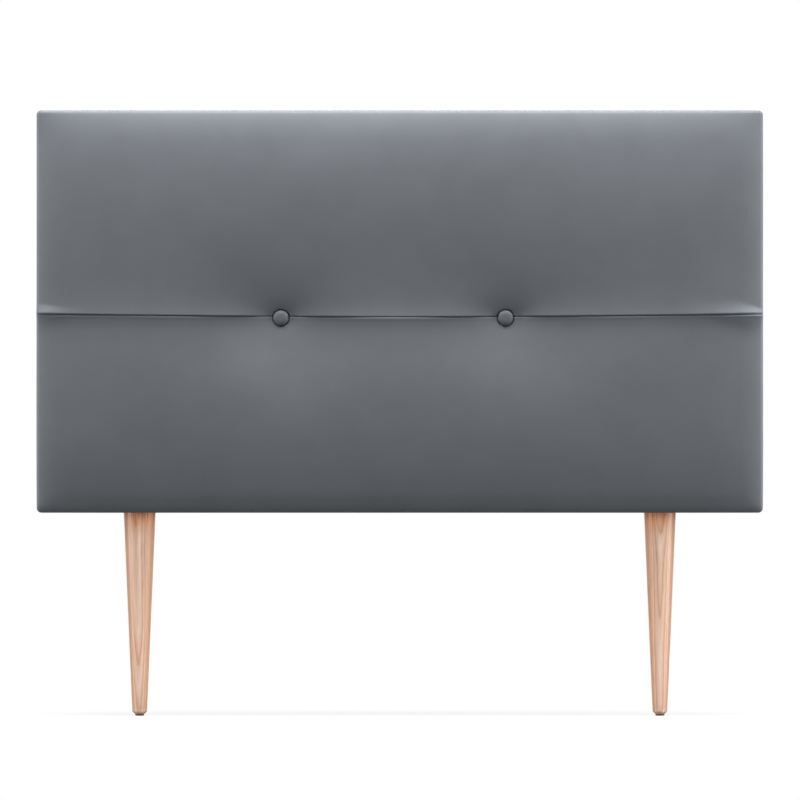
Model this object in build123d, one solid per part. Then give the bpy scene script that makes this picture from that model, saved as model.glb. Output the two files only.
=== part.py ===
from build123d import *
import math
import os

# A headboard on two screw-in legs. Its panel is a pine frame with a thin front board, a foam pad and two
# sewn covers, drawn in by a seam and by two covered buttons that are tied to the frame's middle rail.
# The origin is on the floor, under the middle of the part. +X is to the viewer's right, the padded side
# faces -Y and +Z is up. Lengths are in millimetres. A depth is measured forwards from the frame's back.

# Panel, seen from the front
panel_width = 1080.0
panel_height = 598.4
corner_radius = 7.0
seam_height = 293.0  # from the panel's lower edge up to the seam

# Pine frame: one stock batten, on edge in the rails and stiles and laid flat in the middle rail
batten_width = 45.0
batten_thickness = 30.0

# Front board, foam and cover
board_thickness = 3.0
foam_thickness = 24.0  # at the panel's edge
cover_thickness = 1.0
edge_round = 14.0
rise_over_height = 5.0  # crown of each half between the seam and the panel's edge
rise_over_width = 4.0  # by this much the panel's two ends fall back from its flat middle
end_fall_width = 240.0  # of each end that falls back
side_proud = 0.5  # by this much the side rolls begin in front of the crown that they meet
corner_clearance = 0.4  # the outline that rounds the corners clears the straight sides by this much

# Seam: the upper cover is the fuller one and rolls over the lower one
upper_lift = 4.0
upper_roll = 8.0
lower_lift = 0.0
lower_roll = 3.0
seam_allowance = 7.0

# Tufts and covered buttons
button_spacing = 334.0
buttons_aside = -9.8  # middle of the two buttons, from the panel's middle
button_drop = 3.0  # below the seam
tuft_depth = 11.0  # from the lower cover beside the seam down to the button's seat
tuft_radius = 95.0
tuft_mouth = 0.5  # the tuft's flank runs out this far in front of the crown
button_diameter = 24.0
button_height = 8.5
button_side = 3.6
button_round = 2.5
button_skin = 0.7
cap_wall = 0.6
disc_thickness = 0.8
disc_recess = 1.0
eye_wire_radius = 0.45
eye_radius = 1.8
eye_shank = 1.5
shank_hole_radius = 2.6

# Button twine
twine_radius = 0.6
twine_bend = 1.5
twine_turn_share = 0.9
twine_tail = 18.0
twine_clearance = 0.05

# Screws
screw_length = 70.0
screw_radius = 2.25
screw_head_radius = 4.4
screw_head_height = 2.4
screw_tip = 5.0
screw_side_share = 0.25  # of the joint's width, on each side of its middle

# Staples
wire_thickness = 0.7
wire_width = 1.2
staple_span = 10.0
staple_leg = 8.0
board_staple_inset = 15.0
board_staple_pitch = 260.0
cover_staple_inset = 20.0
cover_staple_pitch = 150.0
cloth_staple_inset = 16.0
cloth_staple_pitch = 120.0
staple_row_end = 60.0  # from a panel corner to the first staple of a row
twine_staple_span = 5.0

# Back
cover_margin = 26.0  # of the cover, turned onto the frame's back
cloth_inset = 12.0
cloth_thickness = 0.5

# Legs
leg_length = 300.0
leg_top_diameter = 47.4
leg_foot_diameter = 22.0
foot_chamfer_height = 3.4
foot_chamfer_bulge = 0.3
leg_inset = 152.0  # of each leg's axis from the panel's end
leg_setback = 0.3  # from the frame's back to the leg

# Hanger bolt and T-nut
bolt_length = 60.0
bolt_radius = 4.0
bolt_end_chamfer = 1.0
bolt_point = 5.0
running_clearance = 0.05
bolt_end_clearance = 0.3
bolt_hole_radius = 4.5
nut_flange_radius = 11.0
nut_flange_thickness = 1.5
nut_barrel_radius = 5.0
nut_barrel_length = 11.0
nut_prongs = 4
nut_prong_circle = 8.5
nut_prong_width = 3.0
nut_prong_thickness = 1.2
nut_prong_length = 7.0

# Glides
glide_height = 3.0
glide_top_diameter = 14.5
glide_foot_diameter = 12.4
nail_length = 16.0
nail_radius = 1.0
nail_head_radius = 2.4
nail_head_height = 0.8
nail_head_recess = 0.5
nail_point = 2.5

# Cutting solids run past what they cut by this much
overrun = 10.0

# Places worked out from the sizes
half_width = panel_width / 2
panel_bottom = glide_height + leg_length
panel_top = panel_bottom + panel_height
panel_middle = (panel_bottom + panel_top) / 2
seam_z = panel_bottom + seam_height
button_z = seam_z - button_drop
button_places = {
    "left": buttons_aside - button_spacing / 2,
    "right": buttons_aside + button_spacing / 2,
}
leg_places = {"left": leg_inset - half_width, "right": half_width - leg_inset}

board_front = batten_width + board_thickness
edge_depth = board_front + foam_thickness + cover_thickness
crown_edge_depth = edge_depth + rise_over_width
front_reach = crown_edge_depth + max(upper_lift, lower_lift) / 2 + rise_over_height
back_reach = cover_thickness + cloth_thickness
back_y = (front_reach - back_reach) / 2
allowance_depth = crown_edge_depth + lower_lift - lower_roll - seam_allowance
seat_depth = crown_edge_depth - tuft_depth

frame_width = panel_width - 2 * cover_thickness
frame_right = frame_width / 2
frame_top = panel_top - cover_thickness
frame_bottom = panel_bottom + cover_thickness
middle_rail_back = batten_width - batten_thickness

# From side to side the panel is flat in the middle. Each end falls back along a circle about an upright
# axis far behind it.
flat_half = half_width - end_fall_width
fall_radius = (end_fall_width**2 + rise_over_width**2) / (2 * rise_over_width)
fall_axis_y = back_y - front_reach + fall_radius


def at(x, depth, z):
    """The point at a depth in front of the frame's back."""
    return Vector(x, back_y - depth, z)


def outline_block(inset, low_depth, high_depth):
    """The panel's outline, drawn in by an inset, between two depths."""
    outline = RectangleRounded(
        panel_width - 2 * inset, panel_height - 2 * inset, corner_radius - inset
    )
    plane = Plane(at(0, low_depth, panel_middle), x_dir=(1, 0, 0), z_dir=(0, -1, 0))
    return extrude(plane * outline, amount=high_depth - low_depth)


def span_block(x_range, depth_range, z_range):
    """A block between two values of x, of depth and of z."""
    size = [high - low for low, high in (x_range, depth_range, z_range)]
    middle = at(sum(x_range) / 2, sum(depth_range) / 2, sum(z_range) / 2)
    return Location(middle) * Box(*size)


def rod(start, direction, radius, length):
    """A cylinder from a point along a direction."""
    return extrude(Plane(start, z_dir=direction) * Circle(radius), amount=length)


def turned(points, place, bulges=None):
    """A solid of revolution about the upright line through place, from (radius, height) points.
    bulges gives, by the number of its first point, how far a side bows outwards as an arc."""
    corners = [Vector(place.X + r, place.Y, place.Z + h) for r, h in points]
    edges = []
    for number, (start, end) in enumerate(zip(corners, corners[1:] + corners[:1])):
        bulge = (bulges or {}).get(number)
        if bulge:
            along = (end - start).normalized()
            outward = Vector(-along.Z, 0, along.X)
            outward = outward if outward.X > 0 else -outward
            edges.append(Edge.make_three_point_arc(start, (start + end) / 2 + outward * bulge, end))
        else:
            edges.append(Edge.make_line(start, end))
    return revolve(Face(Wire(edges)), axis=Axis(place, (0, 0, 1)))


def corner_at(face, point):
    """The face's corner nearest to a point."""
    return min(face.vertices(), key=lambda corner: (Vector(*corner) - point).length)


def stations(length, pitch, end):
    """Evenly spaced places about the middle of a length, near a pitch, clear of both ends."""
    run = length - 2 * end
    count = max(1, round(run / pitch))
    return [run * (number / count - 1 / 2) for number in range(count + 1)]


# The padded form


def crown_circle(edge_z, lift):
    """Centre and radius of a half's crown in the middle section, from the seam to the panel's edge."""
    seam_end = at(0, crown_edge_depth + lift, seam_z)
    edge_end = at(0, crown_edge_depth, edge_z)
    top = (seam_end + edge_end) / 2 - Vector(0, rise_over_height, 0)
    arc = Edge.make_three_point_arc(seam_end, top, edge_end)
    return arc.arc_center, arc.radius


def half_section(centre, radius, edge_z, roll, inset):
    """A half's upright section. Inside the cover it leaves room for the seam's turned-in allowance."""
    side = math.copysign(1, edge_z - seam_z)
    seam_side = seam_z + side * inset
    edge_side = edge_z - side * inset

    def on_crown(z):
        return Vector(0, centre.Y - math.sqrt((radius - inset) ** 2 - (z - centre.Z) ** 2), z)

    seam_corner = on_crown(seam_side)
    edge_corner = on_crown(edge_side)
    crown = Edge.make_three_point_arc(
        seam_corner, on_crown((seam_side + edge_side) / 2), edge_corner
    )
    corners = [edge_corner, at(0, -overrun, edge_side), at(0, -overrun, seam_z)]
    if inset:
        corners += [at(0, allowance_depth, seam_z), at(0, allowance_depth, seam_side)]
    corners += [seam_corner]
    lines = [Edge.make_line(start, end) for start, end in zip(corners, corners[1:])]
    face = Face(Wire([crown, *lines]))
    face = face.fillet_2d(edge_round - inset, [corner_at(face, edge_corner)])
    return face.fillet_2d(roll - inset, [corner_at(face, seam_corner)])


def half_plan(centre, radius, inset):
    """A half's level section, whose rounded corners roll the panel's two sides."""
    side = half_width - inset
    reach = fall_axis_y - (centre.Y - radius) + side_proud - inset

    def on_crown(x):
        fallen = max(abs(x) - flat_half, 0)
        return Vector(x, fall_axis_y - math.sqrt(reach**2 - fallen**2), centre.Z)

    left, right = on_crown(-side), on_crown(side)
    falls = [
        Edge.make_three_point_arc(*(on_crown(x) for x in (start, (start + end) / 2, end)))
        for start, end in ((-side, -flat_half), (flat_half, side))
    ]
    corners = [right, at(side, -overrun, centre.Z), at(-side, -overrun, centre.Z), left]
    lines = [Edge.make_line(start, end) for start, end in zip(corners, corners[1:])]
    lines.append(Edge.make_line(on_crown(-flat_half), on_crown(flat_half)))
    face = Face(Wire([*falls, *lines]))
    return face.fillet_2d(edge_round - inset, [corner_at(face, left), corner_at(face, right)])


def drawn_across(section):
    """An upright section carried straight across the flat middle and swung back at both ends."""
    angle = math.degrees(math.asin((end_fall_width + overrun) / fall_radius))
    axis = Axis((flat_half, fall_axis_y, 0), (0, 0, 1))
    end = revolve(Location((flat_half, 0, 0)) * section, axis=axis, revolution_arc=angle)
    return extrude(section, amount=flat_half, dir=(1, 0, 0), both=True) + [
        end,
        mirror(end, about=Plane.YZ),
    ]


def swung(face, axis, half_angle):
    """A face turned about an axis by the same angle to both sides."""
    return revolve(face, axis=axis, revolution_arc=2 * half_angle).rotate(axis, -half_angle)


def tuft(x, inset):
    """What a button's pull takes away from the pad: a round seat and a flank that flares out."""
    mouth_depth = front_reach + tuft_mouth
    drop = mouth_depth - seat_depth
    run = tuft_radius - button_diameter / 2
    flank_radius = (run**2 + drop**2) / (2 * drop)
    flank_depth = mouth_depth - flank_radius

    def on_flank(depth):
        rise = depth - flank_depth
        return at(x + tuft_radius - math.sqrt((flank_radius - inset) ** 2 - rise**2), depth, button_z)

    seat = seat_depth - inset
    mouth = mouth_depth - inset
    seat_end, mouth_end = on_flank(seat), on_flank(mouth)
    flank = Edge.make_three_point_arc(seat_end, on_flank((seat + mouth) / 2), mouth_end)
    corners = [
        mouth_end,
        at(x + tuft_radius, mouth_depth + overrun, button_z),
        at(x, mouth_depth + overrun, button_z),
        at(x, seat, button_z),
        seat_end,
    ]
    lines = [Edge.make_line(start, end) for start, end in zip(corners, corners[1:])]
    return revolve(Face(Wire([flank, *lines])), axis=Axis((x, 0, button_z), (0, 1, 0)))


def padded_half(edge_z, lift, roll, inset, low_depth):
    """One half of the panel's padded form, crowned both ways, rolled at its edges and tufted."""
    centre, radius = crown_circle(edge_z, lift)
    level = Axis((0, centre.Y, centre.Z), (1, 0, 0))
    level_reach = max(abs(edge_z - centre.Z), abs(seam_z - centre.Z)) + overrun
    level_angle = math.degrees(math.asin(level_reach / radius))
    over_width = drawn_across(half_section(centre, radius, edge_z, roll, inset))
    over_height = swung(half_plan(centre, radius, inset), level, level_angle)
    outline = outline_block(inset - corner_clearance, low_depth, front_reach + overrun)
    return (outline & over_height & over_width) - [tuft(x, inset) for x in button_places.values()]


halves = {
    "upper": (panel_top, upper_lift, upper_roll),
    "lower": (panel_bottom, lower_lift, lower_roll),
}
outer_halves = {
    name: padded_half(*shape, 0, -cover_thickness) for name, shape in halves.items()
}
inner_halves = {name: padded_half(*shape, cover_thickness, 0) for name, shape in halves.items()}


# Fasteners


def screw(head, direction):
    """A countersunk wood screw, from the middle of its head along a direction."""
    profile = [
        (0, 0),
        (screw_head_radius, 0),
        (screw_radius, screw_head_height),
        (screw_radius, screw_length - screw_tip),
        (0, screw_length),
    ]
    return Plane(head, z_dir=direction) * turned(profile, Vector(0, 0, 0))


def staple(outer, crown_direction, leg_direction, span=staple_span, arch=0.0):
    """A staple whose crown's outer face is centred on a point. arch is room under the crown."""
    height = wire_thickness + arch + staple_leg
    plane = Plane(outer, x_dir=crown_direction, z_dir=leg_direction)
    block = Box(span, wire_width, height, align=(Align.CENTER, Align.CENTER, Align.MIN))
    room = Box(
        span - 2 * wire_thickness,
        wire_width + overrun,
        height,
        align=(Align.CENTER, Align.CENTER, Align.MIN),
    )
    return plane * (block - Location((0, 0, wire_thickness)) * room)


def staple_ring(inset, pitch, depth, leg_direction):
    """Staples along the panel's four edges, with their crowns' outer faces at a depth."""
    ring = []
    for x in stations(panel_width, pitch, staple_row_end):
        for z in (panel_bottom + inset, panel_top - inset):
            ring.append(staple(at(x, depth, z), (1, 0, 0), leg_direction))
    for z in stations(panel_height, pitch, staple_row_end):
        for x in (-half_width + inset, half_width - inset):
            ring.append(staple(at(x, depth, panel_middle + z), (0, 0, 1), leg_direction))
    return ring


forwards = (0, -1, 0)
backwards = (0, 1, 0)
corner_screws = []
for side in (-1, 1):
    for share in (-screw_side_share, screw_side_share):
        corner_x = side * (frame_right - batten_thickness / 2)
        corner_depth = batten_width * (1 / 2 + share)
        corner_screws.append(screw(at(corner_x, corner_depth, frame_top), (0, 0, -1)))
        corner_screws.append(screw(at(corner_x, corner_depth, frame_bottom), (0, 0, 1)))
middle_screws = []
for side in (-1, 1):
    for share in (-screw_side_share, screw_side_share):
        end_z = button_z + batten_width * share
        end_depth = middle_rail_back + batten_thickness / 2
        middle_screws.append(screw(at(side * frame_right, end_depth, end_z), (-side, 0, 0)))

board_staples = staple_ring(board_staple_inset, board_staple_pitch, board_front, backwards)
cover_staples = staple_ring(cover_staple_inset, cover_staple_pitch, -cover_thickness, forwards)
cloth_staples = staple_ring(cloth_staple_inset, cloth_staple_pitch, -back_reach, forwards)
twine_staples = []
tail_height = 2 * (twine_radius + twine_clearance)
for x in button_places.values():
    for side in (-1, 1):
        tail_z = button_z + side * (twine_tail - staple_leg / 2)
        crown_depth = middle_rail_back - tail_height - wire_thickness
        twine_staples.append(
            staple(at(x, crown_depth, tail_z), (1, 0, 0), forwards, twine_staple_span, tail_height)
        )


# Legs, with their bolts, nuts and glides


def hanger_bolt(place):
    """Wood thread in the leg, machine thread above it. place is on the axis at the leg's top."""
    top = cover_thickness + batten_thickness + nut_flange_thickness
    low = top - bolt_length
    profile = [
        (0, low),
        (bolt_radius, low + bolt_point),
        (bolt_radius, top - bolt_end_chamfer),
        (bolt_radius - bolt_end_chamfer, top),
        (0, top),
    ]
    return turned(profile, place)


def leg(place):
    """The turned leg, with a bore for its bolt and one for its glide's nail."""
    top, foot = leg_top_diameter / 2, leg_foot_diameter / 2
    profile = [
        (0, -leg_length),
        (glide_top_diameter / 2, -leg_length),
        (foot, -leg_length + foot_chamfer_height),
        (top, 0),
        (0, 0),
    ]
    bore_depth = bolt_length - cover_thickness - batten_thickness - nut_flange_thickness
    bore_radius = bolt_radius + running_clearance
    bore = [
        (0, -bore_depth - bolt_end_clearance),
        (bore_radius, -bore_depth - bolt_end_clearance + bolt_point),
        (bore_radius, overrun),
        (0, overrun),
    ]
    blank = turned(profile, place, {1: foot_chamfer_bulge})
    return blank - turned(bore, place) - glide_nail(place)


def glide_nail(place):
    """The nail through the glide, driven up into the leg's end."""
    head = -leg_length - glide_height + nail_head_recess
    profile = [
        (0, head),
        (nail_head_radius, head),
        (nail_head_radius, head + nail_head_height),
        (nail_radius, head + nail_head_height),
        (nail_radius, head + nail_length - nail_point),
        (0, head + nail_length),
    ]
    return turned(profile, place)


def glide(place):
    """The plastic glide, with a recess for its nail's head."""
    profile = [
        (0, -leg_length - glide_height),
        (glide_foot_diameter / 2, -leg_length - glide_height),
        (glide_top_diameter / 2, -leg_length),
        (0, -leg_length),
    ]
    recess = rod(
        place + Vector(0, 0, -leg_length - glide_height - overrun),
        (0, 0, 1),
        nail_head_radius,
        overrun + nail_head_recess,
    )
    return turned(profile, place) - recess - glide_nail(place)


def leg_nut(place):
    """A T-nut knocked into the bottom rail from inside, with its flange on the rail."""
    seat = cover_thickness + batten_thickness
    profile = [
        (bolt_radius + running_clearance, seat - nut_barrel_length),
        (nut_barrel_radius, seat - nut_barrel_length),
        (nut_barrel_radius, seat),
        (nut_flange_radius, seat),
        (nut_flange_radius, seat + nut_flange_thickness),
        (bolt_radius + running_clearance, seat + nut_flange_thickness),
    ]
    prong = Box(
        nut_prong_thickness,
        nut_prong_width,
        nut_prong_length,
        align=(Align.CENTER, Align.CENTER, Align.MAX),
    )
    under_flange = Location(place + Vector(0, 0, seat))
    prongs = [under_flange * spot * prong for spot in PolarLocations(nut_prong_circle, nut_prongs)]
    return turned(profile, place) + prongs


leg_tops = {
    name: at(x, leg_setback + leg_top_diameter / 2, panel_bottom) for name, x in leg_places.items()
}
bolts = {name: hanger_bolt(place) for name, place in leg_tops.items()}
leg_nuts = {name: leg_nut(place) for name, place in leg_tops.items()}
bolt_hole_length = overrun + cover_thickness + batten_thickness
bolt_holes = [
    rod(place - Vector(0, 0, overrun), (0, 0, 1), bolt_hole_radius, bolt_hole_length)
    for place in leg_tops.values()
]


# Covered buttons and their twines


def dome(inset, base):
    """A button's domed form, drawn in by an inset, above a base height over its seat."""
    radius = button_diameter / 2 - inset
    rise = button_height - button_side
    crown_radius = ((button_diameter / 2) ** 2 + rise**2) / (2 * rise)
    crown_centre = button_height - crown_radius

    def on_crown(r):
        return Vector(r, 0, crown_centre + math.sqrt((crown_radius - inset) ** 2 - r**2))

    rim, top = on_crown(radius), on_crown(0)
    crown = Edge.make_three_point_arc(rim, on_crown(radius / 2), top)
    corners = [top, Vector(0, 0, base), Vector(radius, 0, base), rim]
    lines = [Edge.make_line(start, end) for start, end in zip(corners, corners[1:])]
    face = Face(Wire([crown, *lines]))
    face = face.fillet_2d(button_round - inset, [corner_at(face, rim)])
    return revolve(face, axis=Axis.Z)


def button_cover():
    """The leather over the cap, turned round the cap's rim and up inside it."""
    lip_radius = button_diameter / 2 - button_skin - cap_wall
    opening = rod(
        Vector(0, 0, -overrun), (0, 0, 1), lip_radius - button_skin, overrun + button_skin
    )
    lip_height = disc_recess + disc_thickness
    lip = rod(Vector(0, 0, 0), (0, 0, 1), lip_radius, lip_height)
    lip -= rod(Vector(0, 0, 0), (0, 0, 1), lip_radius - button_skin, lip_height)
    return dome(0, 0) - dome(button_skin, button_skin) - opening + lip


def button_cap():
    """The domed metal cap under the leather."""
    return dome(button_skin, button_skin) - dome(button_skin + cap_wall, 0)


def button_back():
    """The disc pressed into the cap, with the wire eye that the twine goes round."""
    disc_radius = button_diameter / 2 - 2 * button_skin - cap_wall
    disc = rod(Vector(0, 0, disc_recess), (0, 0, 1), disc_radius, disc_thickness)
    arch_centre = disc_recess - eye_shank
    wire = Plane((eye_radius, 0, arch_centre)) * Circle(eye_wire_radius)
    shanks = [
        rod(Vector(x, 0, arch_centre), (0, 0, 1), eye_wire_radius, eye_shank)
        for x in (-eye_radius, eye_radius)
    ]
    arch = revolve(wire, axis=Axis((0, 0, arch_centre), (0, 1, 0)), revolution_arc=180)
    return disc + shanks + arch


def button_twine(x):
    """One length of twine round the eye, back through pad, board and rail, with two tails on the rail."""
    eye_depth = seat_depth + disc_recess - eye_shank - eye_radius
    strand = eye_wire_radius + twine_radius + twine_clearance
    turn_depth = eye_depth + strand
    tail_depth = middle_rail_back - twine_radius - twine_clearance
    route = [
        at(x, tail_depth, button_z + twine_tail),
        at(x, tail_depth, button_z + strand),
        at(x, turn_depth, button_z + strand),
        at(x, turn_depth, button_z - strand),
        at(x, tail_depth, button_z - strand),
        at(x, tail_depth, button_z - twine_tail),
    ]
    turn = strand * twine_turn_share
    path = FilletPolyline(*route, radius=[twine_bend, turn, turn, twine_bend])
    section = Plane(route[0], z_dir=(0, 0, -1)) * Circle(twine_radius)
    return sweep(section, path=path)


def on_seat(x, piece):
    """A button's piece, whose own +Z is forwards, at its place on the seat of its tuft."""
    return Plane(at(x, seat_depth, button_z), x_dir=(1, 0, 0), z_dir=forwards) * piece


shank_holes = [
    rod(at(x, 0, button_z), forwards, shank_hole_radius, seat_depth + overrun)
    for x in button_places.values()
]


# Frame, board, foam, covers and cloth


def rail(x_range, depth_range, z_range, cuts):
    """A piece of batten, rounded where it makes a corner of the panel, with what is driven into it."""
    block = span_block(x_range, depth_range, z_range)
    return (block & outline_block(cover_thickness, 0, batten_width)) - cuts


full_width = (-frame_right, frame_right)
full_depth = (0, batten_width)
between_stiles = (-frame_right + batten_thickness, frame_right - batten_thickness)
between_rails = (frame_bottom + batten_thickness, frame_top - batten_thickness)
middle_span = (button_z - batten_width / 2, button_z + batten_width / 2)
ring_staples = board_staples + cover_staples + cloth_staples
nut_seats = [nut + hole for nut, hole in zip(leg_nuts.values(), bolt_holes)]

pieces = {
    "top_rail": rail(
        full_width, full_depth, (between_rails[1], frame_top), corner_screws + ring_staples
    ),
    "bottom_rail": rail(
        full_width,
        full_depth,
        (frame_bottom, between_rails[0]),
        corner_screws + ring_staples + nut_seats,
    ),
    "left_stile": rail(
        (-frame_right, between_stiles[0]),
        full_depth,
        between_rails,
        corner_screws + middle_screws + ring_staples,
    ),
    "right_stile": rail(
        (between_stiles[1], frame_right),
        full_depth,
        between_rails,
        corner_screws + middle_screws + ring_staples,
    ),
    "middle_rail": rail(
        between_stiles,
        (middle_rail_back, batten_width),
        middle_span,
        middle_screws + twine_staples + shank_holes,
    ),
    "frame_screws": corner_screws + middle_screws,
    "front_board": outline_block(cover_thickness, batten_width, board_front)
    - (board_staples + shank_holes),
    "board_staples": board_staples,
    "foam_pad": (inner_halves["upper"] + inner_halves["lower"])
    & outline_block(0, board_front, front_reach + overrun),
    "cover_staples": cover_staples,
    "cloth_staples": cloth_staples,
    "twine_staples": twine_staples,
}
pieces["foam_pad"] -= shank_holes

margin_opening = span_block(
    (-half_width + cover_margin, half_width - cover_margin),
    (-overrun, 0),
    (panel_bottom + cover_margin, panel_top - cover_margin),
)
for name, outer in outer_halves.items():
    cuts = [margin_opening, *cover_staples, *cloth_staples, *shank_holes, *bolt_holes]
    pieces[f"{name}_cover"] = outer - inner_halves[name] - cuts

cloth_depth = -cover_thickness - cloth_thickness
pieces["back_cloth"] = outline_block(0, cloth_depth, -cover_thickness) & span_block(
    (-half_width + cloth_inset, half_width - cloth_inset),
    (cloth_depth, -cover_thickness),
    (panel_bottom + cloth_inset, panel_top - cloth_inset),
)
pieces["back_cloth"] -= cloth_staples

for name, x in button_places.items():
    pieces[f"{name}_button_cover"] = on_seat(x, button_cover())
    pieces[f"{name}_button_cap"] = on_seat(x, button_cap())
    pieces[f"{name}_button_back"] = on_seat(x, button_back())
    pieces[f"{name}_button_twine"] = button_twine(x)

for name, place in leg_tops.items():
    pieces[f"{name}_leg"] = leg(place)
    pieces[f"{name}_leg_bolt"] = bolts[name]
    pieces[f"{name}_leg_nut"] = leg_nuts[name]
    pieces[f"{name}_glide"] = glide(place)
    pieces[f"{name}_glide_nail"] = glide_nail(place)

os.makedirs("parts", exist_ok=True)
for name, piece in pieces.items():
    group = piece if isinstance(piece, list) else [piece]
    solids = [solid for item in group for solid in item.solids()]
    whole = solids[0] if len(solids) == 1 else Compound(children=solids)
    export_step(whole, f"parts/{name}.step")
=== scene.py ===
import math

import bmesh
import bpy
import numpy as np
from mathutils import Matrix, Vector


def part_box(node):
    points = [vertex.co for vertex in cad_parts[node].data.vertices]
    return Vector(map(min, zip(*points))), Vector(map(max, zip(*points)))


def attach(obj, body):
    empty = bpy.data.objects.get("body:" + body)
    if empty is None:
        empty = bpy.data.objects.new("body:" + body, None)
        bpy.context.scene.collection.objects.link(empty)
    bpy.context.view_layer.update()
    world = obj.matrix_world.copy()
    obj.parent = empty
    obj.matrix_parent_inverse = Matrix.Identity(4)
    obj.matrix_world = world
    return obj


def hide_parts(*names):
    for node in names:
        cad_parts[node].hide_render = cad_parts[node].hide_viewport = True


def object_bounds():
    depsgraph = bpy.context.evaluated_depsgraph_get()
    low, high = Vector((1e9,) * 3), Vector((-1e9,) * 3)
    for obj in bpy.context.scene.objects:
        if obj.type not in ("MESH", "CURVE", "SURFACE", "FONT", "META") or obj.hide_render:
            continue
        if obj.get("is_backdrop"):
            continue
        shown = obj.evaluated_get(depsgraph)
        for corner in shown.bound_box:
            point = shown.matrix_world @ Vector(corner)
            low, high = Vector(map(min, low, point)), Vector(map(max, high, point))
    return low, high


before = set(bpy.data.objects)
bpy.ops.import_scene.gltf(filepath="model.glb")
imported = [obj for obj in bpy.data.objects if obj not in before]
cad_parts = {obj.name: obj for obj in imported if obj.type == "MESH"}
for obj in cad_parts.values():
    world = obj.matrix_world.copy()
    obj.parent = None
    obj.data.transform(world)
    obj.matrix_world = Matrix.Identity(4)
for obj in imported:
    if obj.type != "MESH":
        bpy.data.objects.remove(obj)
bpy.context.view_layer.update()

# An upholstered headboard seen square from the front. Lengths are in metres, in the frame of the packed
# model: +X to the right, the padded side faces -Y, +Z up. A depth is measured forwards from the back of
# the wooden frame inside the panel.

MM = 0.001
weld = 0.01 * MM
same_place = 0.001 * MM

# Places read from the frame

upper_low, upper_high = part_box("upper_cover")
lower_low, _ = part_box("lower_cover")
board_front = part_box("front_board")[0].y
half_width = upper_high.x
panel_top = upper_high.z
panel_bottom = lower_low.z
seam_z = upper_low.z
frame_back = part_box("top_rail")[1].y
cover_thickness = upper_high.y - frame_back
button_places = {}
for side in ("left", "right"):
    low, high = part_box(f"{side}_button_cover")
    button_places[side] = (low + high) / 2
button_radius = (high.x - low.x) / 2
seat_depth = frame_back - high.y

# Sizes of the padded form

edge_depth = 77 * MM
corner_round = 7 * MM
edge_round = 4.0 * MM
brow_round = 5 * MM
back_round = 2.2 * MM
margin_width = 26 * MM
allowance = 7 * MM
gather_height = 0.7 * MM
gather_reach = 10 * MM
gather_count = 3

# Where the cover's further rings lie: behind the seam, down the side, round the back's edge and on its margin
allowance_shares = (0.35, 1.0)
wall_shares = (0.85, 0.65, 0.45, 0.25, 0.08)
back_angles = (0, 25, 50, 75, 90)
margin_shares = (0.25, 0.45, 0.65, 0.85, 1.0)

# The grid's steps: fine round the buttons and at the seam, middling round them and at the ends, wide elsewhere
fine_step = 0.8 * MM
middling_step = 2.0 * MM
wide_step = 4.6 * MM
row_step = 4.2 * MM
fine_reach = 17 * MM
middling_reach = 45 * MM
end_reach = 50 * MM
seam_rows_reach = 22 * MM

# Each half: how full it is all over, how much more at the seam, its crown and how far that leans out
fill = 3.0 * MM
lift = {"upper": 6.0 * MM, "lower": 7.4 * MM}
crown = {"upper": 7.0 * MM, "lower": 6.5 * MM}
crown_lean = 0.8

# Soft rolls along the panel's edges, before the tight round at the very edge
soft_roll_width = {"upper": 43 * MM, "lower": 29 * MM}
soft_roll_drop = {"upper": 5.0 * MM, "lower": 7.6 * MM}
side_roll_width = 33 * MM
side_roll_drop = 5.6 * MM
soft_roll_power = 1.72
end_fall = 7 * MM
end_fall_width = 93 * MM
end_fall_power = 1.8

# The upper edge's soft roll grows flatter towards the panel's corners
corner_flat_share = 1.0
corner_flat_width = 38 * MM
side_flat_share = {"left": 0.9, "right": 0.3}
side_flat_height = {"left": 120 * MM, "right": 75 * MM}
crown_end_share = {"left": 0.97, "right": 0.3}
crown_end_width = 60 * MM

# Pull of the buttons: a wide hollow up to a rim, and a narrow moat between the rim and the button
tuft_reach = {"upper": 56 * MM, "lower": 69 * MM}
tuft_widening = {"upper": 1.76, "lower": 1.41}
tuft_power = {"upper": 1.18, "lower": 1.65}
tuft_seat = 11 * MM
rim_height = 3.7 * MM
near_share = 0.2
near_reach = 13 * MM
seat_gap = 0.8 * MM
moat_width = 0.75 * MM

# Seam
seam_dip = 4.4 * MM
seam_rise = -1.9 * MM
seam_bow = 1.6
seam_reach = 130 * MM
lip_height = 3.0 * MM
lip_width = 18 * MM
lip_clear = 40 * MM
lip_clear_power = 1.5
lip_level_loss = 0.8
upper_roll = 1.9 * MM
lower_roll = 1.4 * MM
crease_depth = 2.2 * MM
crease_near_share = 0.7
lower_fall = 2.3 * MM
lower_fall_width = 60 * MM
side_groove = 0.7 * MM
side_groove_width = 1.6 * MM

# Folds above the seam at its ends: the left one narrows from the end, the right one widens from it
fold_height = {"left": 5.0 * MM, "right": 6.5 * MM}
fold_power = {"left": 1.2, "right": 1.9}
fold_crest = 3.0 * MM
fold_end_loss = 0.2
fold_end_width = 7 * MM
fold_reach = {"left": 34 * MM, "right": 66 * MM}
fold_top = {"left": 16 * MM, "right": 8 * MM}
fold_slope = {"left": -0.11, "right": 0.42}
fold_widest = 23 * MM
fold_narrowest = 6 * MM

# Towards the seam's ends the lower cover comes up level with the upper one, with a bead below the seam
level_height = 6.5 * MM
level_reach = 12 * MM
level_share = {"left": 0.6, "right": 1.0}
level_width = {"left": 42 * MM, "right": 60 * MM}
level_least = 0.18
bead_height = 2.2 * MM
bead_place = 3.0 * MM
bead_width = 2.2 * MM


def from_end(x):
    """Distance from the panel's nearer end."""
    return half_width - np.abs(x)


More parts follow.
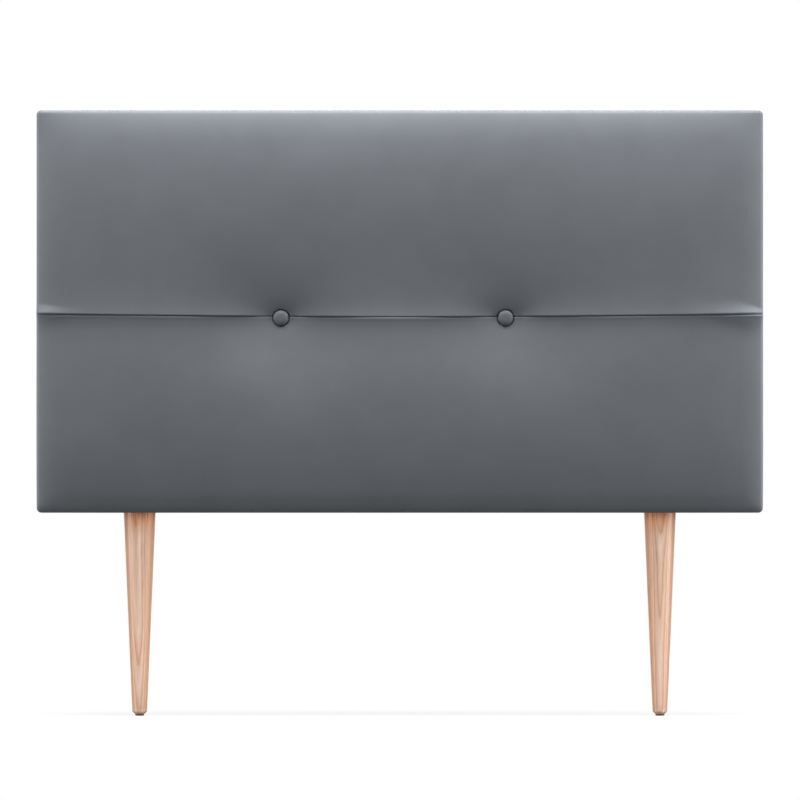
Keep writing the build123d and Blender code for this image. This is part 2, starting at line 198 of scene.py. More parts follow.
def end_drop(x):
    """How far the panel has fallen back near its two ends."""
    past = np.clip(end_fall_width - from_end(x), 0, None)
    return end_fall * (past / end_fall_width) ** end_fall_power


def seam_shift(x):
    """The seam runs a little lower in the middle than at its ends."""
    return seam_rise + seam_dip * (np.abs(x) / half_width) ** seam_bow


def row_height(name, x, u):
    """Height of the grid's rows, which follow the seam near it and lie level further off."""
    fade = np.clip(1 - u / seam_reach, 0, 1)
    side = 1 if name == "upper" else -1
    return seam_z + side * u + seam_shift(x) * fade * fade * (3 - 2 * fade)


def pull(x, z, reach, widening, power):
    """How much of the buttons' full pull a place gets, from 0 to 1."""
    left = np.ones_like(x)
    for place in button_places.values():
        away = np.hypot((x - place.x) / widening, z - place.z)
        beyond = np.clip(away - tuft_seat, 0, None)
        wide = np.exp(-((beyond / reach) ** power))
        left = left * (1 - (1 - near_share) * wide - near_share * np.exp(-beyond / near_reach))
    return 1 - left


def beside_button(x, z):
    """How near a place is to a button, from 0 to 1."""
    return pull(x, z, lip_clear, 1.0, lip_clear_power)


def moat(x, z):
    """The narrow drop right round each button, from 0 to 1."""
    deepest = np.zeros_like(x)
    for place in button_places.values():
        away = np.hypot(x - place.x, z - place.z) - button_radius
        deepest = np.maximum(deepest, np.exp(-((np.clip(away, 0, None) / moat_width) ** 2)))
    return deepest


def roll(distance, width, drop, power=2.0):
    """What a rolled edge has fallen by at a distance from its end."""
    inner = np.clip(1 - distance / width, 0, 1)
    return drop * (1 - np.sqrt(np.clip(1 - inner**power, 0, None)))


def end_fold(x, u):
    """Height of the fold above the seam near each of its ends."""
    total = np.zeros_like(x)
    away = from_end(x)
    for end, here in (("left", x < 0), ("right", x >= 0)):
        top = np.clip(fold_top[end] + fold_slope[end] * away, fold_narrowest, fold_widest)
        ramp = np.clip((top - u) / (top - fold_crest), 0, 1) ** fold_power[end]
        height = fold_height[end] * ramp * np.exp(-((away / fold_reach[end]) ** 2))
        height = height * (1 - fold_end_loss * np.exp(-((away / fold_end_width) ** 2)))
        total = np.where(here, height, total)
    return total


def levelled(x):
    """How far the two covers come level at the seam, from 0 to 1 at its ends."""
    share = np.where(x < 0, level_share["left"], level_share["right"])
    width = np.where(x < 0, level_width["left"], level_width["right"])
    return level_least + (share - level_least) * np.exp(-((from_end(x) / width) ** 2))


def fullness(name, x, u, length):
    """The padded front's depth at x and at a distance u from the seam, before its edges are rounded."""
    t = u / length
    z = row_height(name, x, u)
    bulge = 4 * crown[name] * t * (1 - t) * (1 - crown_lean * (1 - 2 * t))
    if name == "upper":
        less = np.where(x < 0, crown_end_share["left"], crown_end_share["right"])
        bulge = bulge * (1 - less * np.exp(-from_end(x) / crown_end_width))
    base = edge_depth + fill + lift[name] * (1 - t) + bulge - end_drop(x)
    if name == "lower":
        base = base - lower_fall * np.exp(-((u / lower_fall_width) ** 2))
    away = 1 - beside_button(x, z)
    if name == "upper":
        clear = away * (1 - lip_level_loss * levelled(x))
        raised = lip_height * np.exp(-u / lip_width) * clear + end_fold(x, u)
    else:
        bead = bead_height * np.exp(-(((u - bead_place) / bead_width) ** 2))
        raised = away * levelled(x) * (level_height * np.exp(-((u / level_reach) ** 2)) + bead)
    rim = seat_depth + rim_height
    depth = base - (base - rim) * pull(x, z, tuft_reach[name], tuft_widening[name], tuft_power[name])
    return depth + raised - (rim_height + seat_gap) * moat(x, z)


def crease_line(x):
    """Depth of the line at which both covers turn in to the seam."""
    at_seam = np.zeros_like(x)
    near = beside_button(x, row_height("lower", x, at_seam))
    beside = fullness("lower", x, at_seam, seam_z - panel_bottom)
    return beside - crease_depth * (1 + crease_near_share * near)


def half_depth(name, x, u, length):
    """The padded front's depth with all its edges rounded."""
    depth = fullness(name, x, u, length)
    turn = upper_roll if name == "upper" else lower_roll
    at_seam = fullness(name, x, np.zeros_like(x), length)
    depth = depth - roll(u, turn, 1.0) * (at_seam - crease_line(x))
    side = roll(from_end(x), side_roll_width, side_roll_drop, soft_roll_power)
    top = roll(length - u, soft_roll_width[name], soft_roll_drop[name], soft_roll_power)
    if name == "upper":
        top = top * (1 - corner_flat_share * np.exp(-from_end(x) / corner_flat_width))
        flat = np.where(x < 0, side_flat_share["left"], side_flat_share["right"])
        down = np.where(x < 0, side_flat_height["left"], side_flat_height["right"])
        side = side * (1 - flat * np.exp(-(((length - u) / down) ** 2)))
    tight = np.maximum(roll(from_end(x), edge_round, edge_round), roll(length - u, brow_round, brow_round))
    return depth - np.hypot(side, top) - tight


def steps(start, end, step):
    """Even steps from start to end."""
    return list(np.linspace(start, end, max(1, round((end - start) / step)) + 1))


def bends(radius, turn=9):
    """Places round a quarter turn, one every so many degrees."""
    return [radius * (1 - math.cos(math.radians(a))) for a in range(0, 90, turn)]


def across_places():
    """The grid's columns: close together at the two ends and round the buttons."""
    marks = [place.x + half_width for place in button_places.values()]
    stops = [edge_round]
    while stops[-1] < 2 * half_width - edge_round:
        x = stops[-1]
        near = min(abs(x - mark) for mark in marks)
        end = min(x, 2 * half_width - x)
        middling = near < middling_reach or end < end_reach
        stops.append(x + (fine_step if near < fine_reach else middling_step if middling else wide_step))
    run = np.array(stops) - edge_round
    stops = list(edge_round + run * (2 * half_width - 2 * edge_round) / run[-1])
    ends = [2 * half_width - b for b in reversed(bends(edge_round))]
    return np.array(bends(edge_round) + stops + ends) - half_width


def up_places(length, turn):
    """The grid's rows, as distances from the seam to the panel's edge."""
    rows = bends(turn, 10) + steps(turn, seam_rows_reach, fine_step)
    rows += steps(seam_rows_reach, length - brow_round, row_step)[1:]
    return np.array(rows + [length - b for b in reversed(bends(brow_round))])


def rounded_corner(x, z, edge_z, side):
    """Moves the grid's square corner onto the panel's rounded one."""
    middle_x = half_width - corner_round
    middle_z = edge_z - side * corner_round
    a = np.clip((np.abs(x) - middle_x) / corner_round, 0, 1)
    b = np.clip((z - middle_z) * side / corner_round, 0, 1)
    inside = (a > 0) & (b > 0)
    new_x = np.sign(x) * (middle_x + a * np.sqrt(1 - b**2 / 2) * corner_round)
    new_z = middle_z + side * b * np.sqrt(1 - a**2 / 2) * corner_round
    return np.where(inside, new_x, x), np.where(inside, new_z, z)


def front_grid(name, inset=0.0):
    """Columns, rows and places of one half's front, inset from the panel's outline for the foam."""
    side = 1 if name == "upper" else -1
    edge_z = panel_top if side > 0 else panel_bottom
    length = abs(edge_z - seam_z)
    x, u = np.meshgrid(across_places(), up_places(length, upper_roll if side > 0 else lower_roll))
    depth = half_depth(name, x, u, length)
    x, z = rounded_corner(x, row_height(name, x, u), edge_z, side)
    return x * (1 - inset / half_width), depth, z - side * inset * u / length


def cover_mesh(name):
    """One half's cover: front, sides, the margin on the back and the allowance behind the seam."""
    side = 1 if name == "upper" else -1
    edge_z = panel_top if side > 0 else panel_bottom
    x, depth, z = front_grid(name)
    rows, cols = x.shape
    verts = np.stack([x, frame_back - depth, z], -1).reshape(-1, 3).tolist()
    faces = []

    def band(first, second):
        for i in range(len(first) - 1):
            faces.append((first[i], first[i + 1], second[i + 1], second[i]))

    def ring(places):
        start = len(verts)
        verts.extend(places)
        return list(range(start, len(verts)))

    lines = [list(range(j * cols, (j + 1) * cols)) for j in range(rows)]
    for first, second in zip(lines, lines[1:]):
        band(first, second)

    # The allowance, turned in behind the seam
    previous = lines[0]
    for back in allowance_shares:
        inner = ring([(verts[i][0], verts[i][1] + allowance * back, verts[i][2]) for i in lines[0]])
        band(inner, previous)
        previous = inner

    # The rim runs up one side, along the panel's edge and down the other side
    rim = [line[0] for line in lines] + lines[-1][1:-1] + [line[-1] for line in reversed(lines)]
    side_depth = edge_depth - edge_round - side_roll_drop - end_fall
    profile = [(0.0, side_depth * share) for share in wall_shares]
    for angle in back_angles:
        turn = math.radians(angle)
        profile.append((back_round * (1 - math.cos(turn)), back_round * (1 - math.sin(turn)) - cover_thickness))
    for share in margin_shares:
        profile.append((margin_width * share, -cover_thickness))
    previous = rim
    for inset, d in profile:
        places = []
        folded = gather_height * max(0, 1 - inset / gather_reach) if d < 0 else 0
        for index in rim:
            vx, _, vz = verts[index]
            over_x = abs(vx) - half_width + corner_round
            over_z = side * (vz - edge_z) + corner_round
            turned = math.atan2(max(over_z, 0), max(over_x, 0)) if over_x > 0 and over_z > 0 else 0
            gather = folded * math.sin(2 * gather_count * turned) ** 2
            near = (vz - seam_z - seam_shift(vx)) / side_groove_width
            groove = side_groove * math.exp(-near * near) if from_end(vx) < MM else 0.0
            reach = half_width - inset - groove
            wall = side * (edge_z - side * inset)
            flat_x = max(-reach, min(reach, vx))
            places.append((flat_x, frame_back - d + gather, side * min(side * vz, wall)))
        current = ring(places)
        band(previous, current)
        previous = current
    return verts, faces


def mesh_object(name, verts, faces):
    """A smooth-shaded object without doubled vertices, its faces turned outwards."""
    mesh = bpy.data.meshes.new(name)
    mesh.from_pydata([tuple(map(float, v)) for v in verts], [], faces)
    work = bmesh.new()
    work.from_mesh(mesh)
    bmesh.ops.remove_doubles(work, verts=work.verts, dist=weld)
    bmesh.ops.dissolve_degenerate(work, edges=work.edges, dist=weld)
    bmesh.ops.recalc_face_normals(work, faces=work.faces)
    work.to_mesh(mesh)
    work.free()
    for polygon in mesh.polygons:
        polygon.use_smooth = True
    obj = bpy.data.objects.new(name, mesh)
    bpy.context.scene.collection.objects.link(obj)
    return obj


# Materials


class Shader:
    """A node material with a Principled surface."""

    def __init__(self, name):
        self.material = bpy.data.materials.new(name)
        self.material.use_nodes = True
        self.tree = self.material.node_tree
        self.surface = self.tree.nodes["Principled BSDF"]
        self.place = self.node("ShaderNodeTexCoord").outputs["Object"]

    def node(self, kind, values=None, **settings):
        """A new node, each of its inputs set to a value or linked to an output."""
        node = self.tree.nodes.new(kind)
        for key, value in settings.items():
            setattr(node, key, value)
        for key, value in (values or {}).items():
            if isinstance(value, bpy.types.NodeSocket):
                self.tree.links.new(value, node.inputs[key])
            else:
                node.inputs[key].default_value = value
        return node

    def set(self, **values):
        """Sets or links the surface's own inputs."""
        for key, value in values.items():
            socket = self.surface.inputs[key.replace("_", " ")]
            if isinstance(value, bpy.types.NodeSocket):
                self.tree.links.new(value, socket)
            else:
                socket.default_value = value

    def mapped(self, scale=(1, 1, 1), vector=None, location=(0, 0, 0), rotation=(0, 0, 0)):
        """The shaded place, or another vector, scaled, turned and moved."""
        values = {"Vector": vector or self.place, "Scale": scale, "Location": location, "Rotation": rotation}
        return self.node("ShaderNodeMapping", values).outputs["Vector"]

    def parts(self, vector=None):
        """The X, Y and Z of the shaded place or of another vector."""
        return self.node("ShaderNodeSeparateXYZ", {"Vector": vector or self.place}).outputs

    def longer(self, vector, factor):
        """A vector or colour times a number."""
        return self.node("ShaderNodeVectorMath", {0: vector, "Scale": factor}, operation="SCALE").outputs[0]

    def tinted(self, colour, tint, share=1.0):
        """A colour times a tint, which counts for a share."""
        node = self.node("ShaderNodeMix", {0: share, 6: colour, 7: tint}, data_type="RGBA", blend_type="MULTIPLY")
        return node.outputs[2]

    def noise(self, scale, detail=3.0, roughness=0.5, distortion=0.0, vector=None):
        values = {"Vector": vector or self.place, "Scale": scale, "Detail": detail}
        values.update({"Roughness": roughness, "Distortion": distortion})
        return self.node("ShaderNodeTexNoise", values).outputs["Fac"]

    def cells(self, scale):
        node = self.node("ShaderNodeTexVoronoi", {"Vector": self.place, "Scale": scale}, feature="F1")
        return node.outputs["Distance"]

    def ranged(self, value, from_min, from_max, to_min, to_max):
        values = {"Value": value, "From Min": from_min, "From Max": from_max, "To Min": to_min, "To Max": to_max}
        return self.node("ShaderNodeMapRange", values).outputs["Result"]

    def maths(self, operation, a, b=0.0):
        node = self.tree.nodes.new("ShaderNodeMath")
        node.operation = operation
        for socket, value in zip(node.inputs, (a, b)):
            if isinstance(value, bpy.types.NodeSocket):
                self.tree.links.new(value, socket)
            else:
                socket.default_value = value
        return node.outputs[0]

    def ramp(self, value, stops):
        """A colour that runs through the given stops."""
        node = self.node("ShaderNodeValToRGB", {"Fac": value})
        ramp = node.color_ramp
        while len(ramp.elements) < len(stops):
            ramp.elements.new(0.5)
        for element, (place, colour) in zip(ramp.elements, stops):
            element.position = place
            element.color = (*colour, 1)
        return node.outputs["Color"]

    def bump(self, height, distance, strength):
        values = {"Height": height, "Distance": distance, "Strength": strength}
        return self.node("ShaderNodeBump", values).outputs["Normal"]


def linear(red, green, blue):
    """A colour given as it shows on screen, from 0 to 255, as the linear numbers a shader takes."""
    out = []
    for value in (red, green, blue):
        c = value / 255
        out.append(c / 12.92 if c <= 0.04045 else ((c + 0.055) / 1.055) ** 2.4)
    return tuple(out)


def scaled(colour, factor):
    """A colour made darker or lighter."""
    return tuple(c * factor for c in colour)


def varied(base, spread):
    """A ramp's stops for a tone that varies evenly about its base."""
    return [(0.3, scaled(base, 1 - spread)), (0.7, scaled(base, 1 + spread))]


# Imitation leather: features in each metre, from broad mottling to fine pebbles, and how high its grain is
mottle_scale, worn_scale, crease_scale, pebble_scale = 9.0, 35.0, 420.0, 1150.0
mottle_spread = 0.07
pebble_share = 0.6
leather_relief = 0.06 * MM

# The panel's leather is painted with shade over the last stretch above its lower edge, darker towards that edge
painted_shade_height = 14 * MM
painted_hem_shade_stops = [(0.0, 0.5), (0.14, 0.56), (0.26, 0.66), (0.45, 0.78), (0.65, 0.87), (0.85, 0.96), (1.0, 1.0)]


def leather(name, colour, grain, painted_hem_shade):
    """Smooth imitation leather: a fine pebbled grain, faint mottling, a satin skin and, if asked, painted shade
    along the panel's lower edge.
    """
    shader = Shader(name)
    mottle = shader.noise(mottle_scale, detail=4.0, roughness=0.6)
    tone = shader.ramp(mottle, varied(linear(*colour), mottle_spread))
    if painted_hem_shade:
        # Painted shade: the leather darkens towards the panel's lower edge
        above = shader.ranged(shader.parts()["Z"], panel_bottom, panel_bottom + painted_shade_height, 0, 1)
        shade = shader.ramp(above, [(place, (depth, depth, depth)) for place, depth in painted_hem_shade_stops])
        tone = shader.tinted(tone, shade)
    pebbles = shader.maths("MULTIPLY", shader.cells(pebble_scale), pebble_share)
    creases = shader.noise(crease_scale, detail=5.0, roughness=0.6, distortion=0.3)
    worn = shader.noise(worn_scale)
    shader.set(
        Base_Color=tone,
        Roughness=shader.ranged(worn, 0.3, 0.7, 0.58, 0.66),
        Specular_IOR_Level=0.25,
        Normal=shader.bump(shader.maths("ADD", pebbles, creases), leather_relief, grain),
    )
    return shader.material


# Tones of the legs' growth rings, from one ring to the next
ring_pale, ring_mid, ring_dark = linear(226, 184, 153), linear(216, 164, 127), linear(196, 138, 98)
ring_tones = [(0.0, ring_mid), (0.35, ring_pale), (0.75, ring_mid), (0.96, ring_dark), (1.0, ring_mid)]
rings_a_metre = 330.0
ring_axis_beside = 55 * MM
ring_axis_tilt = -0.02
ring_warp = 12 * MM
ring_relief = 0.25
wood_relief = 0.05 * MM

# How close the features of the wood and the streaks of painted shade lie, across the leg twice and along it
warp_density = (14, 14, 3.2)
drift_density = (60, 60, 3)
shade_streak_density = (380, 380, 9)
pore_density = (900, 900, 22)

# Tints that multiply those tones: fine pores, broad drift, painted light where a leg faces front and back with
# painted shade at its sides, and painted shade in streaks near the top
pore_tints = [(0.35, (0.80, 0.76, 0.72)), (0.6, (1, 1, 1))]
drift_tints = [(0.3, (0.93, 0.90, 0.87)), (0.7, (1.04, 1.03, 1.02))]
painted_facing_tints = [(0.3, (0.87, 0.78, 0.7)), (0.9, (1.1, 1.28, 1.55))]
painted_top_shade_tints = [(0.42, (0.68, 0.52, 0.4)), (0.58, (1.15, 1.12, 1.05))]
pore_share = 0.75
# Painted shade of the panel in darker streaks, from this far below the leg's top up to this far below it, and its
# strength
painted_shade_from, painted_shade_to, painted_shade_share = 22 * MM, 3 * MM, 0.8

# Each leg is painted with light on its inner side and with shade on its outer one
painted_inner_light, painted_outer_shade, painted_shade_reach = 1.12, 0.64, 20 * MM

# The tint along a leg, from its foot at 0 to its top at 1: painted light at the foot, and near the top painted light
# that turns to painted shade at the very top under the panel
painted_light_and_shade_along_leg = [
    (0.0, (1.2, 1.25, 1.27)),
    (0.03, (1.0, 1.0, 1.0)),
    (0.85, (1.03, 1.03, 1.03)),
    (0.91, (1.1, 1.03, 0.95)),
    (0.95, (1.3, 1.09, 0.91)),
    (0.97, (1.3, 1.03, 0.76)),
    (1.0, (1.1, 0.7, 0.48)),
]


def turned_wood(name, place, half_height, seed, lean):
    """Pale turned beech or ash: growth rings about a leaning line beside the leg, fine pores, a satin finish."""
    shader = Shader(name)
    centred = shader.mapped(location=(-place.x, -place.y, 0))

    def grain(density, detail, roughness):
        return shader.noise(1.0, detail, roughness, vector=shader.mapped(density, centred))

    def squares(vector):
        parts = shader.parts(vector)
        return [shader.maths("MULTIPLY", parts[axis], parts[axis]) for axis in ("X", "Y")]

    loose = shader.mapped(warp_density, centred, (seed, seed * 2, seed))
    warp = shader.node("ShaderNodeTexNoise", {"Vector": loose, "Scale": 1.0, "Detail": 2.0}).outputs["Color"]
    warped = {0: centred, 1: shader.longer(warp, ring_warp)}
    moved = shader.node("ShaderNodeVectorMath", warped, operation="ADD").outputs[0]
    tilted = shader.mapped(vector=moved, location=(0.0, ring_axis_beside, 0), rotation=(ring_axis_tilt, lean, 0))
    radius = shader.maths("SQRT", shader.maths("ADD", *squares(tilted)))
    rings = shader.maths("FRACT", shader.maths("MULTIPLY", radius, rings_a_metre))
    pores = grain(pore_density, detail=4.0, roughness=0.65)
    across, along = squares(centred)
    facing = shader.maths("DIVIDE", along, shader.maths("ADD", across, along))

    height = shader.parts()["Z"]
    top = place.z + half_height
    share = shader.ranged(height, top - 2 * half_height, top, 0, 1)
    top_shade_mask = shader.ranged(height, top - painted_shade_from, top - painted_shade_to, 0.0, painted_shade_share)
    tone = shader.tinted(shader.ramp(rings, ring_tones), shader.ramp(pores, pore_tints), pore_share)
    tone = shader.tinted(tone, shader.ramp(grain(drift_density, detail=3.0, roughness=0.5), drift_tints))
    # Painted light at the foot and painted light and shade near the top, along the leg's height
    tone = shader.tinted(tone, shader.ramp(share, painted_light_and_shade_along_leg))
    # Painted light and shade: lighter where the leg faces front and back, darker at its sides
    tone = shader.tinted(tone, shader.ramp(facing, painted_facing_tints))
    # Painted light on the leg's inner side and painted shade on its outer side
    outwards = math.copysign(painted_shade_reach, place.x)
    painted_side_shade = shader.ranged(shader.parts(centred)["X"], -outwards, outwards, painted_inner_light, painted_outer_shade)
    tone = shader.longer(tone, painted_side_shade)
    # Painted shade in darker streaks just under the leg's top
    lines = grain(shade_streak_density, detail=2.0, roughness=0.5)
    tone = shader.tinted(tone, shader.ramp(lines, painted_top_shade_tints), top_shade_mask)
    relief = shader.maths("ADD", pores, shader.maths("MULTIPLY", rings, ring_relief))
    shader.set(
        Base_Color=tone,
        Roughness=shader.ranged(pores, 0.3, 0.7, 0.46, 0.36),
        Normal=shader.bump(relief, wood_relief, 0.5),
    )
    return shader.material


def plain_material(name, colour, roughness, spread, scale, grain, bump, metallic=0.0):
    """A finish with some variation of tone, roughness and surface."""
    shader = Shader(name)
    tone = shader.ramp(shader.noise(scale, detail=4.0, roughness=0.6), varied(linear(*colour), spread))
    height = shader.noise(grain, detail=4.0, roughness=0.6)
    shader.set(
        Base_Color=tone,
        Metallic=metallic,
        Roughness=shader.ranged(height, 0.3, 0.7, roughness - 0.06, roughness + 0.06),
        Normal=shader.bump(height, bump, 0.6),
    )
    return shader.material


def pine(name, stretch):
    """Planed softwood, whose grain runs along a piece."""
    shader = Shader(name)
    rings = shader.noise(1.0, detail=5.0, roughness=0.55, distortion=0.6, vector=shader.mapped(stretch))
    bands = shader.maths("FRACT", shader.maths("MULTIPLY", rings, 9.0))
    pale, mid, dark = linear(231, 205, 160), linear(222, 190, 142), linear(198, 154, 104)
    tone = shader.ramp(bands, [(0.0, pale), (0.6, mid), (0.9, dark), (1.0, pale)])
    shader.set(Base_Color=tone, Roughness=0.62, Normal=shader.bump(bands, 0.1 * MM, 0.4))
    return shader.material


def woven(name, colour, thread_rate, roughness):
    """A woven or bonded cloth with two thread directions, their rate in radians a metre."""
    shader = Shader(name)
    base = linear(*colour)
    parts = shader.parts()
    threads = [shader.maths("SINE", shader.maths("MULTIPLY", parts[axis], thread_rate)) for axis in ("X", "Z")]
    weave = shader.maths("MULTIPLY", *threads)
    fibres = shader.noise(240.0, detail=5.0, roughness=0.7)
    shader.set(
        Base_Color=shader.ramp(fibres, [(0.3, scaled(base, 0.75)), (0.7, scaled(base, 1.3))]),
        Roughness=shader.ranged(fibres, 0.2, 0.8, roughness - 0.05, roughness + 0.05),
        Specular_IOR_Level=0.3,
        Normal=shader.bump(shader.maths("ADD", weave, fibres), 0.2 * MM, 0.35),
    )
    return shader.material


leather_material = leather("slate_leather", (105, 109, 114), grain=0.25, painted_hem_shade=True)
button_leather = leather("button_leather", (98, 102, 107), grain=0.6, painted_hem_shade=False)
plain_finishes = {
    # colour, roughness, spread of tone, scale of tone, scale of grain, height of grain, and metallic if not 0
    "zinc_plate": ((188, 190, 194), 0.38, 0.06, 90.0, 900.0, 0.03 * MM, 1.0),
    "brown_nylon": ((98, 70, 60), 0.45, 0.08, 200.0, 1200.0, 0.03 * MM),
    "brown_hardboard": ((122, 88, 60), 0.7, 0.12, 180.0, 700.0, 0.1 * MM),
    "cream_foam": ((236, 230, 205), 0.9, 0.05, 300.0, 1400.0, 0.4 * MM),
    "waxed_twine": ((220, 214, 200), 0.7, 0.1, 900.0, 2500.0, 0.2 * MM),
}
finish = {name: plain_material(name, *values) for name, values in plain_finishes.items()}
cloth_material = woven("black_dust_cloth", (36, 36, 39), thread_rate=3600.0, roughness=0.62)
pine_across = pine("pine_across", (3.0, 60.0, 60.0))
pine_upright = pine("pine_upright", (60.0, 60.0, 3.0))


def paint(node, material):
    """Gives a model's own piece its finish."""
    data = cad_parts[node].data
    data.materials.clear()
    data.materials.append(material)


for node in ("top_rail", "bottom_rail", "middle_rail"):
    paint(node, pine_across)
for node in ("left_stile", "right_stile"):
    paint(node, pine_upright)
for node in ("frame_screws", "board_staples", "cover_staples", "cloth_staples", "twine_staples"):
    paint(node, finish["zinc_plate"])
paint("front_board", finish["brown_hardboard"])
for side, seed, lean in (("left", 2.0, 0.03), ("right", 7.0, -0.03)):
    low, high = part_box(f"{side}_leg")
    paint(f"{side}_leg", turned_wood(f"{side}_leg_wood", (low + high) / 2, (high.z - low.z) / 2, seed, lean))
    for part in ("button_cap", "button_back", "leg_nut", "glide_nail"):
        paint(f"{side}_{part}", finish["zinc_plate"])
    paint(f"{side}_button_twine", finish["waxed_twine"])
    paint(f"{side}_glide", finish["brown_nylon"])

# The covers

for name in ("upper", "lower"):
    piece = mesh_object(f"{name}_panel_cover", *cover_mesh(name))
    piece.data.materials.append(leather_material)
    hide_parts(f"{name}_cover")
    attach(piece, "root")


# The foam lies this far inside the covers' outline and behind their front, and this thick on the board at least
foam_gap = 1.6 * cover_thickness
foam_front_gap = 2.0 * cover_thickness
foam_least = MM


def foam_mesh():
    """The foam under the covers, from the board to just inside the leather."""
    board_depth = frame_back - board_front
    lower, upper = front_grid("lower", foam_gap), front_grid("upper", foam_gap)
    x, depth, z = (np.concatenate([low[::-1], high]) for low, high in zip(lower, upper))
    rows, cols = x.shape
    front = np.stack([x, frame_back - np.maximum(depth - foam_front_gap, board_depth + foam_least), z], -1)
    back = np.stack([x, np.full_like(x, board_front), z], -1)
    verts = np.concatenate([front.reshape(-1, 3), back.reshape(-1, 3)]).tolist()
    half = rows * cols
    faces = []
    for j in range(rows - 1):
        for i in range(cols - 1):
            a = j * cols + i
            cell = (a, a + 1, a + cols + 1, a + cols)
            faces.append(cell)
            faces.append(tuple(half + n for n in reversed(cell)))
    rim = list(range(cols)) + [j * cols + cols - 1 for j in range(1, rows)]
    rim += list(range(half - 2, half - cols - 1, -1)) + [j * cols for j in range(rows - 2, 0, -1)]
    for a, b in zip(rim, rim[1:] + rim[:1]):
        faces.append((a, a + half, b + half, b))
    return verts, faces


# A button's profile runs from its middle outwards and then in behind its side: radius, height, share of gathers
button_height = 8.5 * MM
button_shoulder = 2.0 * MM
button_tight = 0.965
button_around = 84
dome_shares = (0.25, 0.45, 0.6, 0.72, 0.81, 0.88, 0.93, 0.965, 0.985, 0.996, 1.0)
dome_power, dome_flatness = 4.6, 0.75
behind_side = [(1.0, 1.3 * MM, 0.5), (0.975, 0.5 * MM, 1.0), (0.92, 0.1 * MM, 1.0), (0.8, 0.05 * MM, 0.6)]
button_gathers = 14
button_gather_share = 0.008


def button_mesh(place):
    """A covered button: a low dome, a tight turn at its side and small gathers where the leather goes behind."""
    rises = [(1 - share**dome_power) ** dome_flatness for share in dome_shares]
    domed = button_height - button_shoulder
    profile = [(share, button_shoulder + domed * rise, 0.0) for share, rise in zip(dome_shares, rises)] + behind_side
    seat_y = frame_back - seat_depth
    verts = [(place.x, seat_y - button_height, place.z)]
    faces = []
    for ring, (share, rise, gathered) in enumerate(profile):
        for step in range(button_around):
            angle = 2 * math.pi * step / button_around
            gather = button_gather_share * gathered * (1 + math.cos(button_gathers * angle))
            radius = button_tight * button_radius * (share - gather)
            verts.append((place.x + radius * math.cos(angle), seat_y - rise, place.z + radius * math.sin(angle)))
            here = 1 + ring * button_around + step
            after = 1 + ring * button_around + (step + 1) % button_around
            if ring:
                faces.append((here - button_around, after - button_around, after, here))
            else:
                faces.append((0, after, here))
    return verts, faces


for side, place in button_places.items():
    piece = mesh_object(f"{side}_covered_button", *button_mesh(place))
    piece.data.materials.append(button_leather)
    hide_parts(f"{side}_button_cover")
    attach(piece, "root")

foam = mesh_object("foam_block", *foam_mesh())
foam.data.materials.append(finish["cream_foam"])
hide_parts("foam_pad")
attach(foam, "root")


def islands(node):
    """The middle of each separate solid of one of the model's own pieces."""
    work = bmesh.new()
    work.from_mesh(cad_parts[node].data)
    bmesh.ops.remove_doubles(work, verts=work.verts, dist=same_place)
    unseen = set(work.verts)
    middles = []
    while unseen:
        front = [unseen.pop()]
        group = []
        while front:
            vert = front.pop()
            group.append(vert.co.copy())
            near = {edge.other_vert(vert) for edge in vert.link_edges} & unseen
            unseen -= near
            front.extend(near)
        middles.append(sum(group, Vector()) / len(group))
    work.free()
    return sorted(middles, key=lambda place: (round(place.x, 4), round(place.z, 4)))


# The dust cloth: its hem, the slack between the rails and what each staple does to it
cloth_step = 6 * MM
hem_width = 10 * MM
hem_turn = 0.2 * MM
hem_share = 0.7
cloth_slack = 3.6 * MM
cloth_wrinkle = 1.3 * MM
staple_dip = 0.3 * MM
staple_pull = 7 * MM
staple_rays, staple_ray_share = 7, 0.35
sag_power_across, sag_power_up = 0.4, 0.8
furrow_depth = 2.2 * MM
furrow_width = 9 * MM
furrow_length = 45 * MM

# Two sets of shallow waves cross each other on the cloth: their rates across and up, in radians a metre, how far
# each one bends and at what rate
wave_across, wave_up, wave_bend, wave_bend_rate = 61, 17, 1.3, 23
cross_across, cross_up, cross_bend, cross_bend_rate, cross_bend_start = 29, -41, 1.7, 19, 2


